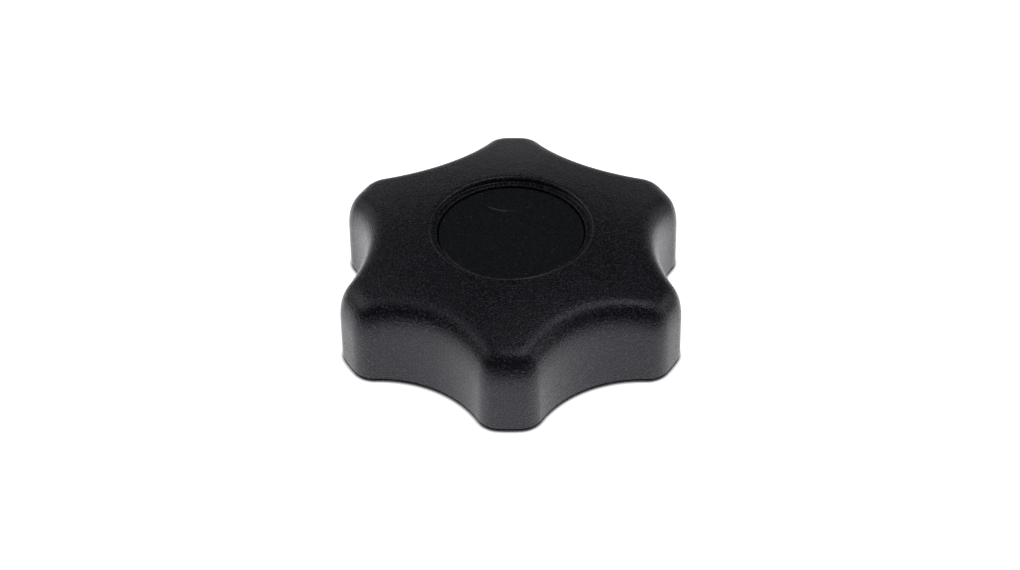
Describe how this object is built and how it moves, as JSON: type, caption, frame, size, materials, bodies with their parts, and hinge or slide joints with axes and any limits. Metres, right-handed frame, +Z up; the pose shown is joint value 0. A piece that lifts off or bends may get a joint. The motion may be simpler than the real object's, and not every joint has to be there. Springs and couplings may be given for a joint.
{
  "type": "star grip nut",
  "caption": "Black lobed star knob with a domed top, a snap-in centre cap and a threaded brass bush moulded into a ribbed hollow underside, turned by hand to clamp.",
  "frame": {"origin": "centre of the knob's flat base, on the thread's axis", "axes": "+Z up along the thread's axis, from the base to the domed top; +Y along the axis of one lobe"},
  "size_m": [0.0544, 0.06, 0.0172],
  "materials": {
    "knob_plastic": "black glass-filled polyamide with a fine spark-eroded grain, satin",
    "cap_plastic": "black moulded plastic, smoother and slightly darker than the knob, with faint scuffs",
    "bush_brass": "turned and knurled, slightly dulled brass"
  },
  "bodies": {
    "knob": {"knob_body": "knob_plastic", "threaded_bush": "bush_brass"},
    "cap": {"centre_cap": "cap_plastic"}
  },
  "joints": [
    {"name": "cap_release", "type": "slide", "parent": "knob", "child": "cap", "axis": [0, 0, 1], "range_m": [0, 0.01]}
  ]
}
